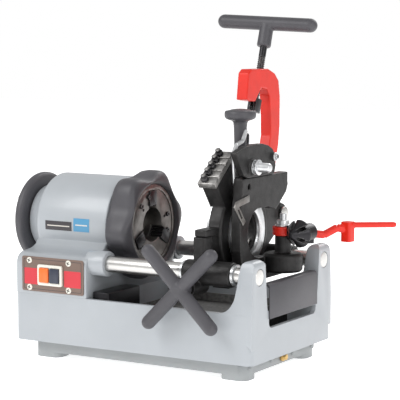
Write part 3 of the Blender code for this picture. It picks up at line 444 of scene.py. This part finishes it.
def end_post(side, end, width, top):
    """A post that carries a rail: where its shape seen from the side meets its shape seen from the end."""
    seen_from_side = [(end, top - 0.170), (end, top - 0.018)]
    seen_from_side += arc((end - 0.011, top - 0.011), 0.011, 0, 90, 6)
    seen_from_side += arc((end - 0.016, top - 0.012), 0.012, 95, 170, 6)
    slope_and_flare = [(0.034, 0.053), (0.038, 0.071), (0.0395, 0.076), (0.0425, 0.082), (0.0470, 0.089),
                       (0.0520, 0.0945), (0.0580, 0.0985), (0.0650, 0.1010), (0.067, 0.131), (0.013, 0.156)]
    seen_from_side += [(end - back, top - down) for back, down in slope_and_flare]
    post = prism("y", seen_from_side, side * 0.088, side * width)
    seen_from_end = [(width, top - 0.186), (width, top - 0.106), (width - 0.004, top - 0.021)]
    seen_from_end += arc((width - 0.019, top - 0.010), 0.010, 20, 90, 5)
    seen_from_end += [(width - 0.046, top), (width - 0.055, top - 0.008), (0.108, top - 0.086)]
    seen_from_end += [(0.098, top - 0.138), (0.090, top - 0.186)]
    sheath = prism("x", [(side * y, z) for y, z in seen_from_end], end - 0.085, end + 0.025)
    return combine(post, sheath, "INTERSECT")


def rail_ends():
    """The machined ends of the rails, which show in the posts."""
    end, edge = rail_high.x - 0.0002, RAIL_RADIUS - 0.0004
    profile = [(end - 0.0038, edge), (end - 0.0010, edge), (end, edge - 0.0012)]
    profile += [(end, 0.0032), (end - 0.0020, 0.0022)]
    for side, name, node in ((-1, "rail_end_front", "front_rail"), (1, "rail_end_rear", "rear_rail")):
        face = turned("x", (side * RAIL_Y, RAIL_Z), profile)
        show(smooth_round(face), name, node, "chuck_steel")


# ---- headstock ---------------------------------------------------------------------------


def casing_outline(inset, bottom):
    """The headstock seen from its end: straight sides, rounded shoulders and a drum on top."""
    side, shoulder, level = casing_high.y - inset, 0.022, RIM_Z - inset
    half = arc((-side + shoulder, level + 0.0625), shoulder, 180, 94, 12)
    half += [(-0.140, level + 0.0850), (-0.124, level + 0.0868), (-0.113, level + 0.0895)]
    half += [(-0.104 + inset, level + 0.0945), (-0.0985 + inset, level + 0.1015)]
    drum = arc(SPINDLE, DRUM_RADIUS - inset, 199, 90, 40)
    left = [(-side, bottom)] + half + drum
    return left + [(-y, z) for y, z in reversed(left[:-1])]


def headstock_skin():
    """The painted shell: a drum that grows out of a box, a flared collar behind and the two rail bosses."""
    start, end, collar_start, boss_end = base_low.x, HEADSTOCK_END, casing_low.x, casing_high.x
    rear_round = [(0, 0.0100), (0.0006, 0.0072), (0.0020, 0.0044), (0.0042, 0.0020), (0.0075, 0.0004),
                  (0.0110, 0.0)]
    front_round = [(0.0035, 0.0), (0.0012, 0.0008), (0, 0.0028)]
    sections = [(start + along, inset) for along, inset in rear_round]
    sections += [(end - along, inset) for along, inset in front_round]
    casing = solid([[spot("x", x, y, z) for y, z in casing_outline(inset, casing_low.z)]
                    for x, inset in sections])
    collar = [(0, 0.0680), (0.0015, 0.0695), (0.0280, 0.0725), (0.0340, 0.0750), (0.0385, 0.0800),
              (0.0420, 0.0850), (0.0530, 0.0880)]
    join(casing, turned("x", SPINDLE, [(collar_start + along, radius) for along, radius in collar]))
    boss = [(end - 0.009, 0.0255), (boss_end - 0.0025, 0.0255), (boss_end - 0.0008, 0.0247),
            (boss_end, 0.0230)]
    for side in (-1, 1):
        join(casing, turned("x", (side * RAIL_Y, RAIL_Z), boss, 64))
    wall, bore = 0.008, 0.0560
    cut(casing, prism("x", casing_outline(wall, casing_low.z - 0.02), start + 0.011, end - 0.0085))
    for side in (-1, 1):
        cut(casing, disc("x", (side * RAIL_Y, RAIL_Z), RAIL_HOLE, end - 0.0075, boss_end + 0.05))
    cut(casing, disc("x", SPINDLE, bore, collar_start - 0.02, boss_end))
    soften_edges(casing, 0.0008, 2)
    show(casing, "headstock_skin", "headstock_casing", stands_for=("headstock_casing",))


def curved_badge(name, look, x, angles, lift):
    """A thin plate that follows the drum, between two angles in degrees."""
    start, end = x
    rows, steps, sunk = [], 24, 0.0005
    for i in range(steps + 1):
        angle = angles[0] + (angles[1] - angles[0]) * i / steps
        outer, inner = polar(SPINDLE, DRUM_RADIUS + lift, angle), polar(SPINDLE, DRUM_RADIUS - sunk, angle)
        corners = ((start, inner), (end, inner), (end, outer), (start, outer))
        rows.append([spot("x", along, *place) for along, place in corners])
    show(smooth_round(solid(rows), 50), name, "headstock_casing", look)


def badges():
    """Plain bars of colour, with no lettering, where the machine carries its badge."""
    plate, line = 0.0006, 0.0008
    curved_badge("badge_bar", "badge_dark", (-0.256, -0.190), (176, 187), plate)
    curved_badge("badge_line", "panel_line", (-0.251, -0.195), (181.0, 182.2), line)
    curved_badge("badge_block", "badge_blue", (-0.185, -0.146), (171, 187), plate)
    curved_badge("badge_block_line", "panel_line", (-0.180, -0.151), (178.4, 179.8), line)


def panel_screw(name, x, z, face):
    """A pan head on the front of the switch panel, with its cross recess drawn as two near-black bars of
    painted shade.
    """
    radius = 0.0063
    height, reach, half, depth = radius * 0.40, radius * 0.60, radius * 0.13, 0.0014
    profile = [(0, radius), (0.35, radius), (0.7, radius * 0.88), (0.93, radius * 0.60), (1.0, radius * 0.20)]
    head = turned("y", (x, z), [(face - height * share, r) for share, r in profile], 40)
    show(smooth_round(head), name, "switch_plate", "white_plastic")
    # Two near-black bars just proud of the crown: painted shade for the cross recess.
    recess_shade = box((-reach, reach), (-0.0001, depth), (-half, half))
    join(recess_shade, box((-half, half), (-0.0001, depth), (-reach, reach)))
    recess_shade.data.transform(Matrix.Rotation(math.radians(25), 4, "Y"))
    recess_shade.data.transform(Matrix.Translation((x, face - height, z)))
    show(recess_shade, name + "_recess", "switch_plate", "shadow_hole")


def switch_skin():
    """The panel with a printed border, two plain colour blocks and four screws, and the framed switch."""
    low, high = laid_out("switch_plate")
    bezel_low, bezel_high = laid_out("switch_bezel")
    face, middle = low.y + 0.0025, (low.z + high.z) / 2
    plate = rounded_box((low.x, high.x), (face, high.y), (low.z, high.z), 0.004, "y")
    show(soften_edges(plate, 0.0004), "switch_panel", "switch_plate", "panel", ("switch_plate",))

    margin, line, print_y = 0.0045, 0.001, (face - 0.0002, face + 0.001)
    left, right, bottom, top = low.x + margin, high.x - margin, low.z + margin, high.z - margin
    border = rounded_box((left, right), print_y, (bottom, top), 0.003, "y")
    inside = rounded_box((left + line, right - line), (face - 0.01, face + 0.01),
                         (bottom + line, top - line), 0.0022, "y")
    show(cut(border, inside), "panel_border", "switch_plate", "badge_dark")
    blocks = ((bezel_high.x + 0.003, right - 0.0015), (left + 0.0015, bezel_low.x - 0.002))
    for number, span in enumerate(blocks, 1):
        block = rounded_box(span, print_y, (middle - 0.0215, middle + 0.0120), 0.0015, "y")
        show(block, f"panel_block_{number}", "switch_plate", "panel_red")
    rows, columns = (high.z - 0.008, low.z + 0.008), (low.x + 0.019, high.x - 0.036)
    for number, (x, z) in enumerate([(x, z) for z in rows for x in columns], 1):
        panel_screw(f"panel_screw_{number}", x, z, face)

    skin("switch_bezel", "white_plastic", 0.0008)
    rocker("off_button", "orange_plastic")
    rocker("on_button", "button_blue")


def rocker(node, look):
    """A push piece with a face that is hollowed for a finger."""
    low, high = laid_out(node)
    radius, depth = 0.027, 0.0008
    button = rounded_box((low.x, high.x), (low.y, high.y), (low.z, high.z), 0.003, "y")
    x, y = (low.x + high.x) / 2, low.y + depth - radius
    cut(button, bar((x, y, low.z - 0.01), (x, y, high.z + 0.01), [(0, radius), (1, radius)], FINE))
    show(soften_edges(button, 0.0006), node + "_skin", node, look, (node,))


# ---- handwheels and chucks ---------------------------------------------------------------


def lobed_solid(profile, lobes, phase):
    """A wheel whose radius swells evenly into lobes. The profile holds (x, radius, swell)."""
    segments, rings = 240, []
    for x, radius, swell in profile:
        ring = []
        for i in range(segments):
            angle = 360 * i / segments
            wave = math.cos(math.radians(lobes * (angle - phase)))
            ring.append(spot("x", x, *polar(SPINDLE, radius + swell * wave, angle)))
        rings.append(ring)
    return solid(rings)


def chuck_wheel_skin():
    """A thick moulded wheel with six finger lobes and a dished face that slopes in to the chuck."""
    low, high = laid_out("chuck_handwheel")
    reach, bore = high.z - SPINDLE[1] - 0.0098, 0.0843
    # The entries hold a distance from a face, a drop from the full radius, and the swell of the lobes.
    rear = [(0, 0.0140, 0.001), (0.0008, 0.0090, 0.003), (0.0030, 0.0040, 0.0055), (0.0075, 0.0010, 0.0075),
            (0.0200, 0, 0.0095), (0.0340, 0, 0.0095)]
    front = [(0.0140, 0.0005, 0.0096), (0.0090, 0.0020, 0.0094), (0.0050, 0.0048, 0.0085),
             (0.0022, 0.0085, 0.0055), (0.0006, 0.0120, 0.0035), (0, 0.0150, 0.0015)]
    profile = [(low.x + along, reach - drop, swell) for along, drop, swell in rear]
    profile += [(high.x - along, reach - drop, swell) for along, drop, swell in front]
    profile += [(high.x - 0.0015, bore + 0.0032, 0.0), (high.x - 0.0060, bore + 0.0002, 0.0)]
    wheel = lobed_solid(profile, 6, 68)
    cut(wheel, disc("x", SPINDLE, bore, low.x - 0.01, high.x + 0.01, 120))
    show(smooth_round(wheel, 50), "chuck_handwheel_skin", "chuck_handwheel", stands_for=("chuck_handwheel",))


def rear_wheel_skin():
    """A thin dished wheel with four finger lugs on its rear face."""
    low, high = laid_out("rear_handwheel")
    bore, segments = 0.0660, 240
    rear = [(0.0060, 0.0680), (0.0035, 0.0760), (0.0020, 0.0850), (0.0022, 0.0910), (0.0050, 0.0950),
            (0.0090, 0.0965), (0.0160, 0.0962), (0.0195, 0.0940)]
    profile = [(low.x + along, radius) for along, radius in rear]
    profile += [(high.x, 0.0890), (high.x - 0.0005, 0.0800), (high.x - 0.0005, 0.0680)]
    wheel = turned("x", SPINDLE, profile, segments)
    for number in range(4):
        angle = 58 + 90 * number
        inner = spot("x", low.x + 0.0065, *polar(SPINDLE, 0.0820, angle))
        outer = spot("x", low.x + 0.0065, *polar(SPINDLE, 0.0930, angle))
        join(wheel, bar(inner, outer, [(0, 0.004), (0.2, 0.0060), (0.8, 0.0060), (1, 0.004)]))
    cast(wheel, 0.0011, 5)
    cut(wheel, disc("x", SPINDLE, bore, low.x - 0.01, high.x + 0.01, 120))
    show(smooth_round(wheel, 50), "rear_handwheel_skin", "rear_handwheel", stands_for=("rear_handwheel",))


def chuck_faces():
    """Bolts on the front chuck's face, near-black discs of painted shade for its pin holes, and a collar
    round its edge.
    """
    face = laid_out("chuck_body")[1].x
    bolt = [(face - 0.001, 0.0050), (face + 0.0030, 0.0050), (face + 0.0036, 0.0044)]
    for number in range(6):
        angle = 30 + 60 * number + (14 if number % 2 else -14)
        place = polar(SPINDLE, 0.0600, angle)
        socket = disc("x", place, 0.0026, face + 0.0012, face + 0.01, 6)
        head = cut(turned("x", place, bolt, 32), socket)
        show(smooth_round(head), f"chuck_bolt_{number + 1}", "chuck_body", "black_steel")
        # A thin near-black disc on the face: painted shade for a pin hole.
        pin_hole_shade = disc("x", polar(SPINDLE, 0.0480, angle), 0.0032, face - 0.0005, face + 0.0003, 24)
        show(pin_hole_shade, f"chuck_pin_hole_shade_{number + 1}", "chuck_body", "shadow_hole")
    ring = disc("x", SPINDLE, 0.0838, face - 0.002, face + 0.0016, 120)
    cut(ring, disc("x", SPINDLE, 0.0755, face - 0.01, face + 0.01, 120))
    show(soften_edges(ring, 0.0005), "chuck_face_ring", "chuck_body", "chuck_steel")


# ---- feed wheel --------------------------------------------------------------------------


def feed_wheel_skin():
    """Four round arms that flow into one another at the hub."""
    low, high = laid_out("feed_handwheel")
    centre = ((low.x + high.x) / 2, (low.z + high.z) / 2)
    plane, reach, radius, bore = low.y + 0.0145, 0.1125, 0.0138, 0.0063
    hub = turned("y", centre, [(low.y + 0.0010, 0.0080), (low.y + 0.0032, 0.0140), (plane, 0.0175),
                               (high.y - 0.0010, 0.0160), (high.y, 0.0150)], 64)
    for angle in (45, 135, 225, 315):
        tip = spot("y", plane, *polar(centre, reach, angle))
        join(hub, rounded_bar(spot("y", plane, *centre), tip, radius))
    cast(hub, 0.0013, 6)
    cut(hub, disc("y", centre, bore, plane - 0.004, high.y + 0.02, 40))
    show(smooth_round(hub, 60), "feed_wheel_skin", "feed_handwheel", stands_for=("feed_handwheel",))


# ---- carriage and tools ------------------------------------------------------------------

# node: the remesh's voxel, the passes of smoothing, and a look where the slot's own doesn't do
CASTINGS = {
    "carriage_casting": (0.0016, 4, None), "die_head_body": (0.0014, 4, None),
    "frame_cover": (0.0011, 4, None), "cutter_frame": (0.0013, 5, None), "reamer_lever": (0.0010, 5, None),
    "reamer_arm": (0.0010, 2, "black_steel"),
}


def casting_skins():
    """The castings' own shapes, with the fillets of a casting."""
    for node, (voxel, passes, look) in CASTINGS.items():
        show(cast(copy_of(node), voxel, passes), node + "_skin", node, look, (node,))


def knob_skin():
    """The lifting knob: a stem that flares into a round cap with a full edge."""
    low, high = laid_out("head_lift_knob")
    centre, cap_radius = ((low.x + high.x) / 2, (low.y + high.y) / 2), (high.x - low.x) / 2
    stem = [(0, 0.0066), (0.0212, 0.0066), (0.0213, 0.0124), (0.0230, 0.0128), (0.0600, 0.0124),
            (0.0880, 0.0132), (0.0985, 0.0142), (0.1025, 0.0170), (0.1042, 0.0225), (0.1062, 0.0280)]
    profile = [(low.z + rise, radius) for rise, radius in stem]
    middle, half, edge = high.z - 0.0118, 0.0082, cap_radius - 0.0005
    for degrees in range(-60, 61, 12):
        angle = math.radians(degrees)
        profile.append((middle + half * math.sin(angle), edge - half * 0.45 * (1 - math.cos(angle))))
    crown = [(0.0035, 0.0240), (0.0018, 0.0180), (0.0006, 0.0100), (0, 0.0010)]
    profile += [(high.z - drop, radius) for drop, radius in crown]
    knob = smooth_round(turned("z", centre, profile), 60)
    show(knob, "lift_knob_skin", "head_lift_knob", stands_for=("head_lift_knob",))


def handle_skin():
    """The cutter's cross handle, with a fillet where its bar meets its sleeve."""
    half, radius, sleeve, segments = HANDLE_DIRECTION * 0.1118, 0.0149, 0.0520, 48
    grip = rounded_bar(SCREW_TOP - half, SCREW_TOP + half, radius, segments)
    radii = [(0, 0.0145), (0.80, 0.0148), (0.93, 0.0150), (0.975, 0.0142), (1.0, 0.0125)]
    join(grip, bar(SCREW_TOP, SCREW_TOP + SCREW_DIRECTION * sleeve, radii, segments))
    cast(grip, 0.0012, 6)
    show(smooth_round(grip, 60), "cutter_handle_skin", "cutter_handle", stands_for=("cutter_handle",))


def screw_skin():
    """The feed screw: a plain neck, then a thread."""
    start, end = SCREW_TOP + SCREW_DIRECTION * 0.0523, SCREW_TOP + SCREW_DIRECTION * 0.1645
    length = (end - start).length
    neck, pitch, neck_radius, crest, core = 0.022, 0.0042, 0.0076, 0.0078, 0.0066
    profile = [(0, neck_radius), (neck / length, neck_radius)]
    for i in range(int((length - neck - 0.004) / pitch)):
        begin = neck + 0.001 + i * pitch
        for share, radius in ((0.0, core), (0.30, crest), (0.55, crest), (0.85, core)):
            profile.append(((begin + share * pitch) / length, radius))
    profile += [((length - 0.002) / length, core), (1, core - 0.001)]
    screw = smooth_round(bar(start, end, profile, 40))
    show(screw, "cutter_screw_skin", "cutter_screw", "black_steel", ("cutter_screw",))


def size_screws():
    """Black cap screws on the size block, which leans round the spindle's axis. Each has a socket."""
    lean, seat_radius, row_shift, pitch = math.radians(129.0), 0.1601, -0.0175, 0.0182
    out = Vector((0, math.cos(lean), math.sin(lean)))
    along = Vector((0, -math.sin(lean), math.cos(lean)))
    axis_point = Vector((laid_out("size_block")[0].x + 0.014, *SPINDLE))
    collar_and_cap = [(0, 0.0078), (0.50, 0.0078), (0.54, 0.0074), (0.56, 0.0056), (0.62, 0.0054),
                      (0.97, 0.0054), (1.0, 0.0048)]
    for number in range(5):
        seat = axis_point + out * seat_radius + along * (row_shift + (number - 2) * pitch)
        head = bar(seat, seat + out * 0.0138, collar_and_cap)
        socket = bar(seat + out * 0.0105, seat + out * 0.02, [(0, 0.0032), (1, 0.0032)], 6)
        show(smooth_round(cut(head, socket)), f"size_screw_{number + 1}", "size_block", "black_steel")


def cover_details():
    """A zinc washer and a bolt head on the curved cover."""
    high = laid_out("frame_cover")[1]
    place, face = (high.y - 0.010, high.z - 0.030), high.x - 0.0062
    washer = [(face, 0.0086), (face + 0.0003, 0.0090), (face + 0.0016, 0.0090), (face + 0.0020, 0.0086)]
    show(smooth_round(turned("x", place, washer, 48)), "cover_washer", "frame_cover", "zinc")
    end = high.x - 0.0001
    head = disc("x", place, 0.0064, face + 0.0002, end, 6)
    join(head, turned("x", place, [(high.x - 0.002, 0.0050), (end, 0.0044)], 32))
    show(soften_edges(head, 0.0004), "cover_bolt", "frame_cover", "zinc")


def die_head_rim():
    """The machined edge of the die head."""
    face, radius = laid_out("die_head_body")[0].x, 0.0976
    ring = turned("x", SPINDLE, [(face + 0.0036, radius - 0.0010), (face + 0.0040, radius),
                                 (face + 0.0062, radius), (face + 0.0066, radius - 0.0010)])
    cut(ring, disc("x", SPINDLE, 0.0940, face, face + 0.01))
    show(smooth_round(ring), "die_head_rim", "die_head_body", "zinc")


def slider_collars():
    """The bright wipers at the ends of the front slide."""
    centre, slide_start, slide_end = (-RAIL_Y, RAIL_Z), 0.1118, 0.2192
    wipers = (("wiper_right", slide_end, slide_end + 0.0070),
              ("wiper_left", slide_start - 0.0058, slide_start))
    for name, start, end in wipers:
        profile = [(start, 0.0205), (start + 0.0008, 0.0212), (end - 0.0008, 0.0212), (end, 0.0200)]
        ring = turned("x", centre, profile, 64)
        cut(ring, disc("x", centre, RAIL_RADIUS + 0.0004, start - 0.01, end + 0.01, 64))
        show(smooth_round(ring), name, "carriage_casting", "zinc")


# ---- the rest ----------------------------------------------------------------------------

# node: its look, and how far its sharp edges are rounded
SKINS = {
    "undertray": ("tray_paint", 0.0010), "drain_plug": ("brass", 0.0004),
    "carry_handle": ("dark_plastic", 0.0006), "chip_tray": ("mesh_tray", 0.0004),
    "oil_tank": ("mesh_tray", 0.0006), "oil_pump_cover": ("black_steel", 0.0015),
    "front_bearing": ("steel", 0.0004), "rear_bearing": ("steel", 0.0004),
    "gearbox_plate": ("cast_iron", 0.0005), "motor": ("cast_iron", 0.0008), "motor_pinion": ("steel", 0.0001),
    "lay_gear": ("steel", 0.0001), "lay_pinion": ("steel", 0.0001), "spindle_gear": ("steel", 0.0001),
    "spindle_tube": ("brushed", 0.0005), "chuck_body": ("chuck_steel", 0.0007),
    "rear_chuck_body": ("chuck_steel", 0.0006), "front_rail": ("brushed", 0.0001),
    "rear_rail": ("brushed", 0.0004), "feed_pinion": ("steel", 0.0002), "frame_bolt": ("zinc", 0.0005),
    "oil_spout": ("chuck_steel", 0.0003), "tool_pin": ("steel", 0.0008),
    "size_block": ("block_steel", 0.0006), "size_clamp_screw": ("black_steel", 0.0006),
    "die_cam": ("zinc", 0.0003), "cutter_slide": ("black_steel", 0.0008), "cutter_wheel": ("steel", 0.0002),
    "cutter_roller_1": ("steel", 0.0006), "cutter_roller_2": ("steel", 0.0006),
    "reamer_pivot_bolt": ("zinc", 0.0006), "reamer_cone": ("black_steel", 0.0003),
}
SKINS.update({f"chuck_jaw_{number}": ("black_steel", 0.0005) for number in (1, 2, 3)})
SKINS.update({f"rear_jaw_{number}": ("black_steel", 0.0004) for number in (1, 2, 3)})
SKINS.update({f"chaser_{number}": ("steel", 0.0002) for number in (1, 2, 3, 4)})


def other_skins():
    """The nodes that need no more than rounded edges and a look."""
    for node, (look, width) in SKINS.items():
        skin(node, look, width)


# ---- the studio --------------------------------------------------------------------------


def white_floor():
    """A floor that glows a little, so that it comes out white."""
    mesh, reach = bpy.data.meshes.new("floor"), 8.0
    corners = [(-reach, -reach, 0), (reach, -reach, 0), (reach, reach, 0), (-reach, reach, 0)]
    mesh.from_pydata(corners, [], [(0, 1, 2, 3)])
    floor = placed("floor", mesh)
    white = material("floor", (0.90, 0.90, 0.90), 0.6, mottle=0.005, grain=0.02)
    shader = white.node_tree.nodes["Principled BSDF"]
    shader.inputs["Emission Color"].default_value = (1, 1, 1, 1)
    shader.inputs["Emission Strength"].default_value = 0.7
    floor.data.materials.append(white)


def white_world():
    """A white surround, which the camera sees brighter than it lights the machine."""
    lighting, seen = 0.60, 1.0
    world = bpy.data.worlds.new("studio")
    bpy.context.scene.world = world
    world.use_nodes = True
    nodes, links = world.node_tree.nodes, world.node_tree.links
    strength = nodes.new("ShaderNodeMapRange")
    strength.inputs["To Min"].default_value = lighting
    strength.inputs["To Max"].default_value = seen
    links.new(nodes.new("ShaderNodeLightPath").outputs["Is Camera Ray"], strength.inputs["Value"])
    links.new(strength.outputs["Result"], nodes["Background"].inputs["Strength"])
    nodes["Background"].inputs["Color"].default_value = (1, 1, 1, 1)


def lamp(name, place, target, size, power):
    """A square lamp that faces a target."""
    light = bpy.data.lights.new(name, "AREA")
    light.size = size
    light.energy = power
    obj = placed(name, light)
    obj.location = Vector(place) + SHIFT
    obj.rotation_euler = (Vector(target) - Vector(place)).to_track_quat("-Z", "Y").to_euler()


def camera():
    """A long lens, a little above the machine, to the right of its front."""
    lens = bpy.data.cameras.new("camera")
    lens.lens = 151.4
    lens.sensor_width = 36
    obj = placed("camera", lens)
    obj.location = Vector((1.7978, -2.9259, 0.7095)) + SHIFT
    obj.rotation_euler = (math.radians(83.6), 0, math.radians(30.7))
    bpy.context.scene.camera = obj


def studio():
    """The floor, the surround, three lamps and the camera."""
    white_floor()
    white_world()
    lamp("key", (-1.2, -2.2, 2.4), (0.0, 0.0, 0.25), 1.6, 46)
    lamp("fill", (2.6, -1.2, 1.4), (0.05, 0.0, 0.25), 1.4, 17)
    lamp("rim", (0.2, 2.4, 2.2), (0.0, 0.0, 0.35), 1.6, 30)
    camera()
    bpy.context.scene.view_settings.view_transform = "Standard"


base_skin()
rail_ends()
headstock_skin()
badges()
switch_skin()
chuck_wheel_skin()
rear_wheel_skin()
chuck_faces()
feed_wheel_skin()
casting_skins()
knob_skin()
handle_skin()
screw_skin()
size_screws()
cover_details()
slider_collars()
die_head_rim()
other_skins()
studio()
